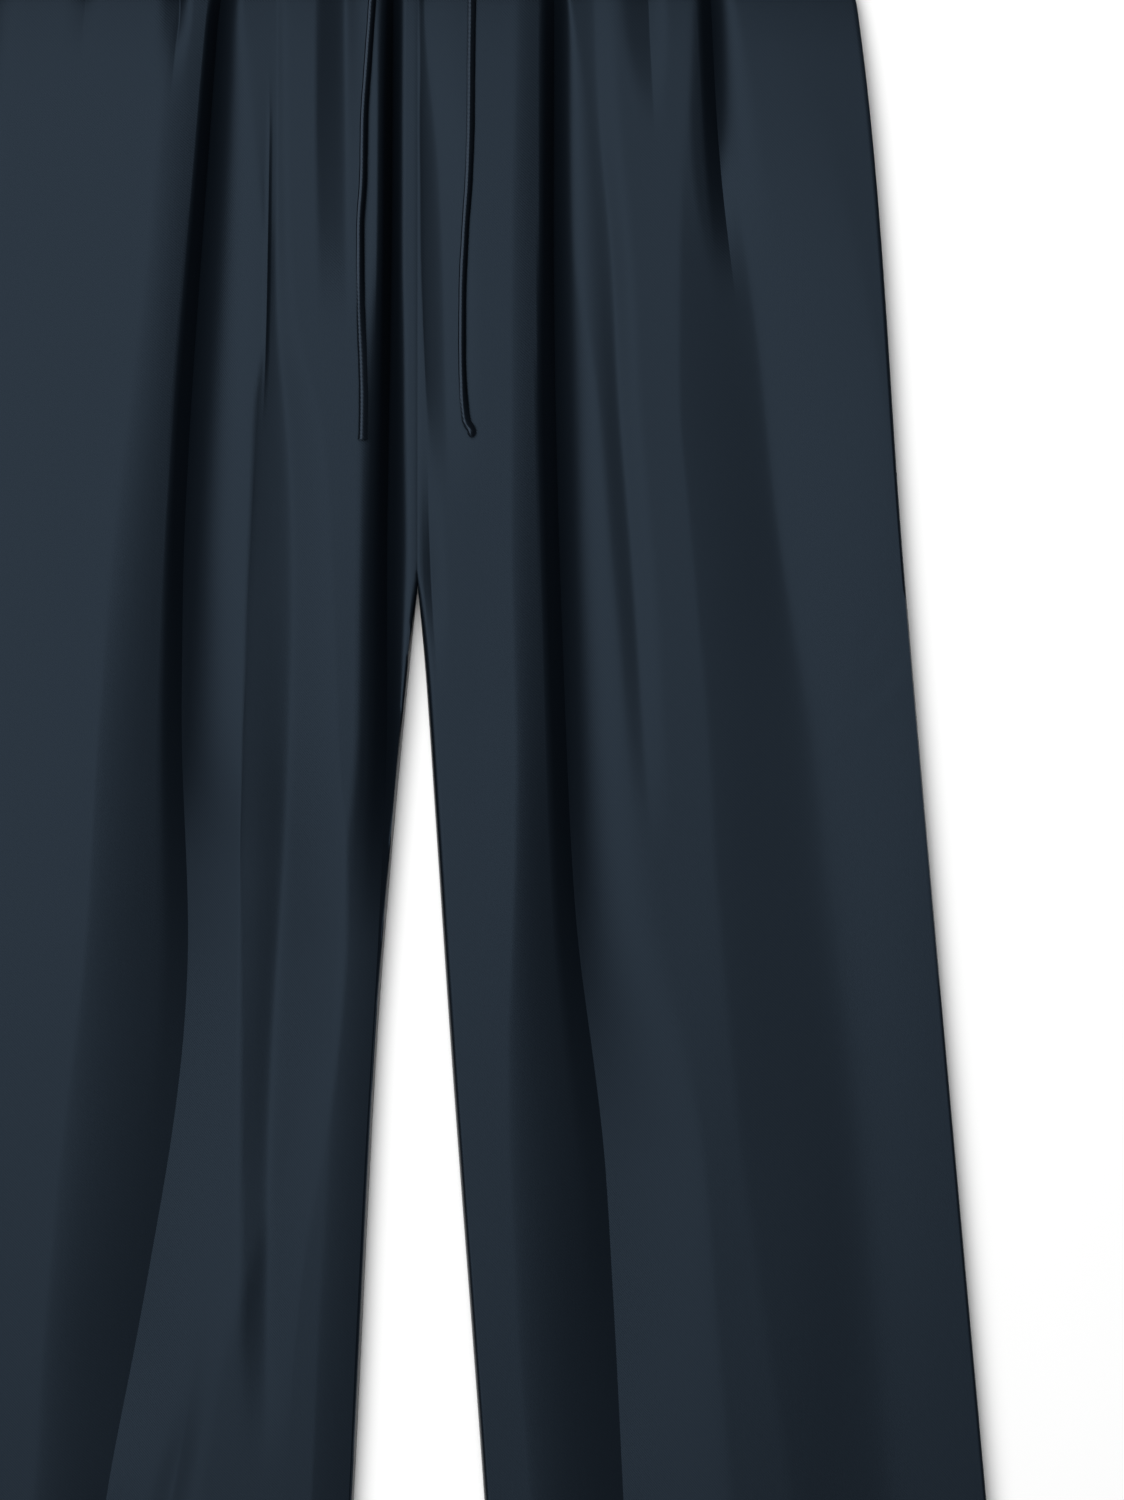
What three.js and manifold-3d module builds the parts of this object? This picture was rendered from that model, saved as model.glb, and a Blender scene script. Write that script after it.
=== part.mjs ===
import * as THREE from 'three';
import { mergeVertices } from 'three/addons/utils/BufferGeometryUtils.js';
import Module from 'manifold-3d';

// Wide-leg satin trousers with a gathered elastic waist and a drawstring, laid flat on their back.
// X runs across, Y runs up towards the waist and Z stands off the surface they lie on.
// A "drop" is how far below the top of the waistband a point lies, measured down the cloth.
// An "off" is how far out from the centre line it lies, on either side. All sizes are in millimetres.

// Driving dimensions
const frontRise = 341;
const insideLeg = 742;
const garmentLength = frontRise + insideLeg;
const bandDepth = 38;
const cloth = 1;
const bandCloth = 2;
const seamGap = 0.3;
const cordDiameter = 4;
const slot = { left: 20, right: 25, width: 4.8, length: 16, drop: 12 };

const topY = garmentLength / 2;
const panelDrop = bandDepth + seamGap;
const panelLength = garmentLength - panelDrop;

// The side edge of the laid garment, a row for each section
const sideEdge = [
  { drop: 0, off: 186 },
  { drop: bandDepth, off: 190 },
  { drop: 47, off: 204 },
  { drop: 62, off: 211.5 },
  { drop: frontRise, off: 234.5 },
  { drop: 780, off: 273.4 },
  { drop: garmentLength, off: 301.6 },
];

// The inside edge of each leg, from the fork of the legs to the hem
const insideEdge = [
  { drop: frontRise, left: 0.15, right: 0.15 },
  { drop: 389, left: 5, right: 4.1 },
  { drop: 460, left: 11.8, right: 8.9 },
  { drop: 560, left: 19.7, right: 15.6 },
  { drop: 780, left: 31, right: 31.9 },
  { drop: garmentLength, left: 48, right: 52 },
];

// How far the front stands off the back: edge is the roll at the sides, crown is added towards the middle
const standOff = [
  { drop: bandDepth, edge: 1.6, crown: 2.4 },
  { drop: 62, edge: 4, crown: 5 },
  { drop: 130, edge: 5, crown: 7 },
  { drop: frontRise, edge: 5, crown: 8 },
  { drop: 700, edge: 5, crown: 7 },
  { drop: garmentLength, edge: 4.5, crown: 5.5 },
];

// Folds and gathers of the front, outwards from the centre line, a row for each.
// Its line passes through the offs top, middle and hem. It is open between the drops from and to.
// inTop, inHem, outTop and outHem are its reach on the inner and outer side where it opens and ends.
// deepTop and deepHem are the share of the stand-off it takes away there, and steps its facets a side.
const frontFolds = {
  left: [
    { top: 11.5, middle: 29, hem: 60, from: 0, to: 1300,
      inTop: 5, inHem: 16, outTop: 7, outHem: 26, deepTop: 0.95, deepHem: 0.3, steps: 2 },
    { top: 40, middle: 48, hem: 85, from: 0, to: 215,
      inTop: 8, inHem: 8, outTop: 9, outHem: 9, deepTop: 0.5, deepHem: 0, steps: 1 },
    { top: 56, middle: 61, hem: 93, from: 0, to: 90,
      inTop: 8, inHem: 8, outTop: 8, outHem: 8, deepTop: 0.7, deepHem: 0, steps: 0 },
    { top: 71.8, middle: 74.5, hem: 101, from: 0, to: 800,
      inTop: 6, inHem: 14, outTop: 6, outHem: 14, deepTop: 0.6, deepHem: 0.12, steps: 2 },
    { top: 91, middle: 137.5, hem: 192, from: 0, to: 1400,
      inTop: 6, inHem: 24, outTop: 7, outHem: 40, deepTop: 0.97, deepHem: 0.7, steps: 2 },
    { top: 105, middle: 152, hem: 206, from: 0, to: 75,
      inTop: 7, inHem: 7, outTop: 7, outHem: 7, deepTop: 0.7, deepHem: 0, steps: 0 },
    { top: 119.8, middle: 176, hem: 228, from: 0, to: 140,
      inTop: 7, inHem: 9, outTop: 7, outHem: 9, deepTop: 0.8, deepHem: 0, steps: 1 },
    { top: 140, middle: 192, hem: 244, from: 0, to: 80,
      inTop: 9, inHem: 9, outTop: 9, outHem: 9, deepTop: 0.7, deepHem: 0, steps: 0 },
    { top: 159.6, middle: 208, hem: 258, from: 0, to: 130,
      inTop: 8, inHem: 9, outTop: 8, outHem: 9, deepTop: 0.75, deepHem: 0, steps: 1 },
    { top: 175, middle: 226, hem: 274, from: 0, to: 75,
      inTop: 7, inHem: 7, outTop: 6, outHem: 6, deepTop: 0.7, deepHem: 0, steps: 0 },
  ],
  right: [
    { top: 9.5, middle: 24, hem: 66, from: 0, to: 270,
      inTop: 4, inHem: 6, outTop: 6, outHem: 9, deepTop: 0.6, deepHem: 0, steps: 1 },
    { top: 28, middle: 42, hem: 78, from: 0, to: 80,
      inTop: 9, inHem: 9, outTop: 9, outHem: 9, deepTop: 0.7, deepHem: 0, steps: 0 },
    { top: 46, middle: 56, hem: 88, from: 0, to: 75,
      inTop: 8, inHem: 8, outTop: 8, outHem: 8, deepTop: 0.7, deepHem: 0, steps: 0 },
    { top: 64, middle: 77, hem: 103, from: 0, to: 1400,
      inTop: 7, inHem: 26, outTop: 5, outHem: 14, deepTop: 0.97, deepHem: 0.65, steps: 2 },
    { top: 80, middle: 116, hem: 150, from: 150, to: 470,
      inTop: 6, inHem: 6, outTop: 7, outHem: 7, deepTop: 0.25, deepHem: 0.25, steps: 1 },
    { top: 104, middle: 142, hem: 184, from: 0, to: 130,
      inTop: 7, inHem: 8, outTop: 7, outHem: 8, deepTop: 0.8, deepHem: 0, steps: 1 },
    { top: 121, middle: 156, hem: 204, from: 0, to: 75,
      inTop: 8, inHem: 8, outTop: 8, outHem: 8, deepTop: 0.7, deepHem: 0, steps: 0 },
    { top: 138, middle: 180, hem: 235, from: 0, to: 1300,
      inTop: 5, inHem: 28, outTop: 5, outHem: 28, deepTop: 0.9, deepHem: 0.5, steps: 2 },
    { top: 155, middle: 208, hem: 262, from: 0, to: 75,
      inTop: 8, inHem: 8, outTop: 8, outHem: 8, deepTop: 0.7, deepHem: 0, steps: 0 },
    { top: 172, middle: 226, hem: 276, from: 0, to: 80,
      inTop: 8, inHem: 8, outTop: 8, outHem: 8, deepTop: 0.7, deepHem: 0, steps: 0 },
  ],
};

// The spacing of the rows of facets down a panel
const panelRows = [
  { from: panelDrop, to: 62, count: 4 },
  { from: 62, to: frontRise, count: 8 },
  { from: frontRise, to: 500, count: 5 },
  { from: 500, to: garmentLength, count: 9 },
];

const rollWidth = 12;
const seamDip = { depth: 0.3, reach: 7 };
const forkBlend = 55;
const backColumns = 4;

// The band's gathers: unevenly spaced ribs, laid flat where the drawstring comes through
const band = { gathers: 29, facets: 4, rib: 1.6, uneven: 0.35, drift: 2.3, flatReach: 7, rows: 2 };

// Routes of the drawstring's two free ends, from inside each slot down over the front, in X, Y and Z
const cordRoutes = {
  drawstring_left: [
    [-20.0, 527.5, 4.6], [-20.0, 521.5, 5.6], [-20.0, 515.0, 7.2], [-20.1, 509.0, 7.9],
    [-20.3, 503.0, 9.6], [-20.6, 496.0, 11.4], [-21.0, 489.0, 12.9], [-21.4, 481.4, 14.0],
    [-23.3, 452.6, 15.6], [-25.2, 423.8, 16.5], [-25.7, 395.0, 16.9], [-27.1, 371.0, 17.1],
    [-27.1, 337.4, 17.3], [-26.2, 303.8, 17.5], [-25.9, 289.4, 17.5], [-26.2, 270.2, 17.3],
  ],
  drawstring_right: [
    [25.0, 527.5, 4.6], [25.0, 521.5, 5.6], [25.1, 515.0, 7.2], [25.3, 509.0, 7.9],
    [25.6, 503.0, 9.4], [25.9, 496.0, 11.1], [26.1, 489.0, 12.7], [26.2, 481.4, 13.7],
    [25.9, 452.6, 15.5], [25.7, 423.8, 16.5], [24.9, 395.0, 16.9], [23.3, 371.0, 17.1],
    [21.9, 337.4, 17.3], [21.8, 313.4, 17.4], [22.3, 294.2, 17.5], [24.2, 271.2, 17.6],
  ],
};
const cordSides = 8;
const cordStep = 2.2 * cordDiameter;

// Finishes
const satin = new THREE.MeshStandardMaterial({ color: 0x2a333d, roughness: 0.38, metalness: 0 });
const bandSatin = new THREE.MeshStandardMaterial({ color: 0x272f39, roughness: 0.42, metalness: 0 });
const cordSatin = new THREE.MeshStandardMaterial({ color: 0x222933, roughness: 0.45, metalness: 0 });

// A smooth value between the rows of a table, with no overshoot past them
function along(rows, key, drop) {
  const last = rows.length - 1;
  const i = Math.min(Math.max(rows.findIndex((row) => row.drop > drop) - 1, 0), last - 1);
  const k = drop >= rows[last].drop ? last - 1 : i;
  const span = (j) => rows[j + 1].drop - rows[j].drop;
  const slope = (j) => (rows[j + 1][key] - rows[j][key]) / span(j);
  const tangent = (j) => {
    if (j === 0) return slope(0);
    if (j === last) return slope(last - 1);
    const before = slope(j - 1);
    const after = slope(j);
    return before * after <= 0 ? 0 : (2 * before * after) / (before + after);
  };
  const t = THREE.MathUtils.clamp((drop - rows[k].drop) / span(k), 0, 1);
  const start = rows[k][key];
  const end = rows[k + 1][key];
  const blend = t * t * (3 - 2 * t);
  const rise = t * (1 - t) * (1 - t) * tangent(k) * span(k);
  const fall = t * t * (1 - t) * tangent(k + 1) * span(k);
  return start + (end - start) * blend + rise - fall;
}

function dropsFrom(bands) {
  const drops = bands.flatMap(({ from, to, count }) =>
    Array.from({ length: count }, (_, i) => from + ((to - from) * i) / count));
  return [...drops, bands.at(-1).to];
}

const mix = THREE.MathUtils.lerp;
const step = THREE.MathUtils.smoothstep;
const outerOff = (drop) => along(sideEdge, 'off', drop);
const innerOff = (side, drop) => (drop <= frontRise ? seamGap / 2 : along(insideEdge, side, drop));

// How a fold lies at one drop: its line, its reach on either side and its depth
function foldAt(fold, drop) {
  const t = (drop - panelDrop) / panelLength;
  const line = fold.top * (1 - t) * (1 - 2 * t) + fold.middle * 4 * t * (1 - t) + fold.hem * t * (2 * t - 1);
  const run = THREE.MathUtils.clamp((drop - fold.from) / (fold.to - fold.from), 0, 1);
  const fade = Math.min(30, (fold.to - fold.from) / 3);
  const open = fold.from > 0 ? step(drop, fold.from, fold.from + fade) : 1;
  const shut = 1 - step(drop, fold.to - fade, fold.to);
  return {
    line,
    inner: mix(fold.inTop, fold.inHem, run),
    outer: mix(fold.outTop, fold.outHem, run),
    depth: mix(fold.deepTop, fold.deepHem, run) * open * shut,
  };
}

// The height of the front's underside
function frontLow(side, off, drop) {
  const inner = innerOff(side, drop);
  const outer = outerOff(drop);
  const u = THREE.MathUtils.clamp((off - inner) / (outer - inner), 0, 1);
  const split = step(drop, frontRise - 10, frontRise + forkBlend);
  const rollIn = (distance) => Math.sin((Math.PI / 2) * THREE.MathUtils.clamp(distance / rollWidth, 0, 1));
  const innerRoll = mix(1, rollIn(off - inner), split);
  const dip = 1 - seamDip.depth * (1 - split) * THREE.MathUtils.clamp(1 - (off - inner) / seamDip.reach, 0, 1);
  const across = mix(Math.cos((u * Math.PI) / 2), Math.sin(Math.PI * u), split);
  const crown = along(standOff, 'crown', drop) * Math.max(across, 0);
  let height = (along(standOff, 'edge', drop) + crown) * rollIn(outer - off) * innerRoll * dip;
  for (const fold of frontFolds[side]) {
    const { line, inner: reachIn, outer: reachOut, depth } = foldAt(fold, drop);
    const s = off < line ? (line - off) / reachIn : (off - line) / reachOut;
    if (s < 1) height *= 1 - depth * Math.cos((s * Math.PI) / 2) ** 2;
  }
  return cloth + seamGap + height;
}

// The offs of a front panel's columns at one drop, from the inner edge to the side
function frontColumns(side, drop) {
  const inner = innerOff(side, drop);
  const outer = outerOff(drop);
  const offs = [inner, inner + 2.5];
  let previous = null;
  for (const fold of frontFolds[side]) {
    const { line, inner: reachIn, outer: reachOut } = foldAt(fold, drop);
    const own = [];
    for (let k = -fold.steps; k <= fold.steps; k += 1) {
      own.push(line + (k / Math.max(fold.steps, 1)) * (k < 0 ? reachIn : reachOut));
    }
    if (previous !== null) offs.push((previous + own[0]) / 2);
    offs.push(...own);
    previous = own.at(-1);
  }
  offs.push(outer - rollWidth, outer - rollWidth * 0.45, outer - rollWidth * 0.12, outer);
  // Neighbours are kept apart, from the inner edge outwards and then from the side edge back
  const least = 0.9;
  const sorted = offs.slice().sort((a, b) => a - b);
  for (let j = 1; j < sorted.length; j += 1) sorted[j] = Math.max(sorted[j], sorted[j - 1] + least);
  sorted[sorted.length - 1] = outer;
  for (let j = sorted.length - 2; j > 0; j -= 1) sorted[j] = Math.min(sorted[j], sorted[j + 1] - least);
  sorted[0] = inner;
  return sorted;
}

// A closed wall between a lower and an upper sheet of points, rows running down and columns towards +X
function wallSolid(rows) {
  const rowCount = rows.length;
  const columnCount = rows[0].length;
  const points = [];
  for (const key of ['low', 'high']) {
    for (const row of rows) row.forEach((p) => points.push(p.x, p.y, p[key]));
  }
  const sheet = rowCount * columnCount;
  const low = (i, j) => i * columnCount + j;
  const high = (i, j) => sheet + low(i, j);
  const faces = [];
  const quad = (a, b, c, d) => faces.push(a, b, c, a, c, d);
  for (let i = 0; i < rowCount - 1; i += 1) {
    for (let j = 0; j < columnCount - 1; j += 1) {
      quad(high(i, j), high(i + 1, j), high(i + 1, j + 1), high(i, j + 1));
      quad(low(i, j), low(i, j + 1), low(i + 1, j + 1), low(i + 1, j));
    }
    quad(low(i, 0), low(i + 1, 0), high(i + 1, 0), high(i, 0));
    const e = columnCount - 1;
    quad(low(i, e), high(i, e), high(i + 1, e), low(i + 1, e));
  }
  for (let j = 0; j < columnCount - 1; j += 1) {
    const e = rowCount - 1;
    quad(low(0, j), high(0, j), high(0, j + 1), low(0, j + 1));
    quad(low(e, j), low(e, j + 1), high(e, j + 1), high(e, j));
  }
  const geometry = new THREE.BufferGeometry();
  geometry.setAttribute('position', new THREE.Float32BufferAttribute(points, 3));
  geometry.setIndex(faces);
  return geometry;
}

function frontPanel(side) {
  const sign = side === 'left' ? -1 : 1;
  const rows = dropsFrom(panelRows).map((drop) => {
    const row = frontColumns(side, drop).map((off) => {
      const low = frontLow(side, off, drop);
      return { x: sign * off, y: topY - drop, low, high: low + cloth };
    });
    return sign < 0 ? row.reverse() : row;
  });
  return wallSolid(rows);
}

function backPanel(side) {
  const sign = side === 'left' ? -1 : 1;
  const rows = dropsFrom(panelRows).map((drop) => {
    const inner = innerOff(side, drop);
    const outer = outerOff(drop);
    const row = Array.from({ length: backColumns + 1 }, (_, j) => {
      const off = mix(inner, outer, j / backColumns);
      return { x: sign * off, y: topY - drop, low: 0, high: cloth };
    });
    return sign < 0 ? row.reverse() : row;
  });
  return wallSolid(rows);
}

const openSolid = (geometry) => {
  const bare = geometry.clone();
  bare.deleteAttribute('normal');
  bare.deleteAttribute('uv');
  return mergeVertices(bare, 1e-4);
};

const wasm = await Module();
wasm.setup();

function toManifold(geometry) {
  const merged = openSolid(geometry);
  return new wasm.Manifold(new wasm.Mesh({
    numProp: 3,
    vertProperties: new Float32Array(merged.attributes.position.array),
    triVerts: new Uint32Array(merged.index.array),
  }));
}

function fromManifold(solid) {
  const mesh = solid.getMesh();
  const geometry = new THREE.BufferGeometry();
  geometry.setAttribute('position', new THREE.BufferAttribute(new Float32Array(mesh.vertProperties), 3));
  geometry.setIndex(new THREE.BufferAttribute(new Uint32Array(mesh.triVerts), 1));
  return geometry;
}

// The front of the casing, ribbed by its gathers, with a slot cut for each end of the drawstring
function waistbandFront() {
  const columns = band.gathers * band.facets;
  const drops = Array.from({ length: band.rows + 1 }, (_, i) => (bandDepth * i) / band.rows);
  const rows = drops.map((drop) => {
    const half = outerOff(drop);
    return Array.from({ length: columns + 1 }, (_, j) => {
      const u = j / columns;
      const x = mix(-half, half, u + (band.uneven / columns) * Math.sin(band.drift * j));
      const nearSlot = Math.abs(Math.abs(x) - (x < 0 ? slot.left : slot.right)) - slot.width / 2;
      const lie = step(nearSlot, 0, band.flatReach);
      const rib = band.rib * lie * (0.5 - 0.5 * Math.cos(2 * Math.PI * band.gathers * u));
      const low = bandCloth + seamGap + rib;
      return { x: j === 0 ? -half : j === columns ? half : x, y: topY - drop, low, high: low + bandCloth };
    });
  });
  let solid = toManifold(wallSolid(rows));
  for (const x of [-slot.left, slot.right]) {
    const cutter = new THREE.BoxGeometry(slot.width, slot.length, 8 * bandCloth);
    cutter.translate(x, topY - slot.drop - slot.length / 2, 2 * bandCloth);
    solid = solid.subtract(toManifold(cutter));
  }
  return fromManifold(solid);
}

function waistbandBack() {
  const rows = [0, bandDepth].map((drop) =>
    [-1, 1].map((sign) => ({ x: sign * outerOff(drop), y: topY - drop, low: 0, high: bandCloth })));
  return wallSolid(rows);
}

function drawstring(route) {
  const curve = new THREE.CatmullRomCurve3(route.map((point) => new THREE.Vector3(...point)), false, 'centripetal');
  const section = new THREE.Shape();
  for (let k = 0; k < cordSides; k += 1) {
    const turn = (2 * Math.PI * k) / cordSides;
    const [x, y] = [Math.cos(turn), Math.sin(turn)].map((side) => (side * cordDiameter) / 2);
    if (k === 0) section.moveTo(x, y);
    else section.lineTo(x, y);
  }
  const steps = Math.round(curve.getLength() / cordStep);
  return openSolid(new THREE.ExtrudeGeometry(section, { steps, curveSegments: 1, extrudePath: curve }));
}

const trousers = new THREE.Group();

function add(name, geometry, material) {
  const mesh = new THREE.Mesh(geometry, material);
  mesh.name = name;
  trousers.add(mesh);
}

for (const side of ['left', 'right']) {
  add(`front_${side}`, frontPanel(side), satin);
  add(`back_${side}`, backPanel(side), satin);
}
add('waistband_front', waistbandFront(), bandSatin);
add('waistband_back', waistbandBack(), bandSatin);
for (const [name, route] of Object.entries(cordRoutes)) add(name, drawstring(route), cordSatin);

export default trousers;
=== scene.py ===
import math

import bpy
import numpy as np
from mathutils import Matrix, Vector


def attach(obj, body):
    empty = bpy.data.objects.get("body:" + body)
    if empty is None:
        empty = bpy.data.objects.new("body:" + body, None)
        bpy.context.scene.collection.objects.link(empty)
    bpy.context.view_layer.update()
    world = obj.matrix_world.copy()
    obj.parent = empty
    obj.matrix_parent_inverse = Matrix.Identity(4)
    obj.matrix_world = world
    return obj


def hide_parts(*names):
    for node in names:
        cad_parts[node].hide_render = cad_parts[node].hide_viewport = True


# Wide-leg satin trousers laid flat on their back, seen from straight above.
# X runs across, Y up towards the waist, Z off the surface. Tables are in millimetres.
# A drop is how far below the top of the waistband a point lies.

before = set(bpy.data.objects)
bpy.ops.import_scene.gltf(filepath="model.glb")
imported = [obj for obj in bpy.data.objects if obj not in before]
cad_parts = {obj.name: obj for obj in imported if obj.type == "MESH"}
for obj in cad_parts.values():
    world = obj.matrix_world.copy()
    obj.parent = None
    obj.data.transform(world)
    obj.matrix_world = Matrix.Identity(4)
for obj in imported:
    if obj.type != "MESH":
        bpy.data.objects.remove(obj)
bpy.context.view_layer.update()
mm = 0.001

garment = {
    "frontRise": 341.0,
    "insideLeg": 742.0,
    "bandDepth": 38.0,
    "cloth": 1.1,          # thickness of the turned and pressed cloth
    "clothLift": 0.15,     # how far the front's edges lie off the back
    "backCloth": 1.0,
    "bandCloth": 2.0,
    "seamGap": 0.3,
    "seamLine": 0.02,      # the panels all but touch at the centre seam
    "hemTurn": 25.0,
    "cordDiameter": 4.0,
}
length = garment["frontRise"] + garment["insideLeg"]
topY = length / 2
panelDrop = garment["bandDepth"] + garment["seamGap"]
fork = garment["frontRise"]


# Camera: straight above, framed as the photograph is
view = {
    "frameWidth": 1124,
    "frameHeight": 1500,
    "mmPerPixel": 0.48,
    "centreLine": 417.5,   # the pixel column of the centre-front seam
    "middleRow": 1003.0,   # the pixel row that lies at Y = 0
    "lens": 85.0,
    "sensor": 24.0,
    "clothHeight": 11.0,   # where the scale holds, above the surface
}


def makeCamera():
    data = bpy.data.cameras.new("camera")
    data.sensor_fit = "VERTICAL"
    data.sensor_height = view["sensor"]
    data.lens = view["lens"]
    data.clip_end = 50
    tall = view["frameHeight"] * view["mmPerPixel"]
    x = (view["frameWidth"] / 2 - view["centreLine"]) * view["mmPerPixel"]
    y = (view["middleRow"] - view["frameHeight"] / 2) * view["mmPerPixel"]
    z = tall * view["lens"] / view["sensor"] + view["clothHeight"]
    camera = bpy.data.objects.new("camera", data)
    camera.location = (x * mm, y * mm, z * mm)
    bpy.context.scene.collection.objects.link(camera)
    bpy.context.scene.camera = camera


makeCamera()
print("camera ready")


# Light: a large soft source above and to the left, pale surroundings, a pale floor
light = {
    "mainPower": 172.0,
    "mainSize": 3.3,
    "mainPlace": (-0.8, 0.67, 3.2),
    "mainAim": (0.05, 0.1, 0.0),
    "skyStrength": 0.09,
    "sky": (0.93, 0.95, 1.0),
    "floor": (0.90, 0.90, 0.895),
    "floorSize": 16.0,
    "floorRoughness": 0.9,
    "floorBelow": 0.0004,  # keeps the floor clear of the underside
}


def makeLight():
    data = bpy.data.lights.new("softbox", "AREA")
    data.shape = "SQUARE"
    data.size = light["mainSize"]
    data.energy = light["mainPower"]
    box = bpy.data.objects.new("softbox", data)
    box.location = light["mainPlace"]
    aim = Vector(light["mainAim"]) - Vector(light["mainPlace"])
    box.rotation_euler = aim.to_track_quat("-Z", "Y").to_euler()
    box.visible_camera = False
    bpy.context.scene.collection.objects.link(box)
    world = bpy.data.worlds.new("surroundings")
    world.use_nodes = True
    sky = world.node_tree.nodes["Background"]
    sky.inputs["Color"].default_value = (*light["sky"], 1)
    sky.inputs["Strength"].default_value = light["skyStrength"]
    bpy.context.scene.world = world
    bpy.context.scene.view_settings.view_transform = "Standard"


def makeFloor():
    half = light["floorSize"] / 2
    mesh = bpy.data.meshes.new("floor")
    corners = [(-half, -half), (half, -half), (half, half), (-half, half)]
    mesh.from_pydata([(x, y, -light["floorBelow"]) for x, y in corners], [], [(0, 1, 2, 3)])
    floor = bpy.data.objects.new("floor", mesh)
    bpy.context.scene.collection.objects.link(floor)
    paint = bpy.data.materials.new("paleFloor")
    paint.use_nodes = True
    shader = paint.node_tree.nodes["Principled BSDF"]
    shader.inputs["Base Color"].default_value = (*light["floor"], 1)
    shader.inputs["Roughness"].default_value = light["floorRoughness"]
    mesh.materials.append(paint)


makeLight()
makeFloor()
print("light and floor ready")


# The outline, the same as the solids'
sideEdge = {
    "drop": (0, 38, 47, 62, 341, 780, 1083),
    "off": (186, 190, 204, 211.5, 234.5, 273.4, 301.6),
}
insideEdge = {
    "drop": (341, 389, 460, 560, 780, 1083),
    "left": (0.15, 5, 11.8, 19.7, 31, 48),
    "right": (0.15, 4.1, 8.9, 15.6, 31.9, 52),
}
standOff = {
    "drop": (38, 62, 90, 130, 341, 700, 1083),
    "edge": (2.4, 7.8, 9.9, 10.9, 11.8, 11.7, 10.4),
    "crown": (1.4, 1.2, 1, 1, 0.8, 0.3, 0.2),
}


def along(table, key, at):
    x = np.array(table["drop"], float)
    y = np.array(table[key], float)
    h = np.diff(x)
    slope = np.diff(y) / h
    tangent = np.zeros(len(x))
    tangent[0] = slope[0]
    tangent[-1] = slope[-1]
    for k in range(1, len(x) - 1):
        before, after = slope[k - 1], slope[k]
        tangent[k] = 0 if before * after <= 0 else 2 * before * after / (before + after)
    at = np.clip(np.asarray(at, float), x[0], x[-1])
    k = np.clip(np.searchsorted(x, at, side="right") - 1, 0, len(x) - 2)
    t = (at - x[k]) / h[k]
    blend = t * t * (3 - 2 * t)
    rise = t * (1 - t) ** 2 * tangent[k] * h[k]
    fall = t * t * (1 - t) * tangent[k + 1] * h[k]
    return y[k] + (y[k + 1] - y[k]) * blend + rise - fall


def ramp(x, low, high):
    t = np.clip((x - low) / (high - low), 0, 1)
    return t * t * (3 - 2 * t)


def outerOff(drop):
    return along(sideEdge, "off", drop)


def innerOff(side, drop):
    below = along(insideEdge, side, drop)
    return np.where(np.asarray(drop) <= fork, garment["seamLine"], below)


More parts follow.
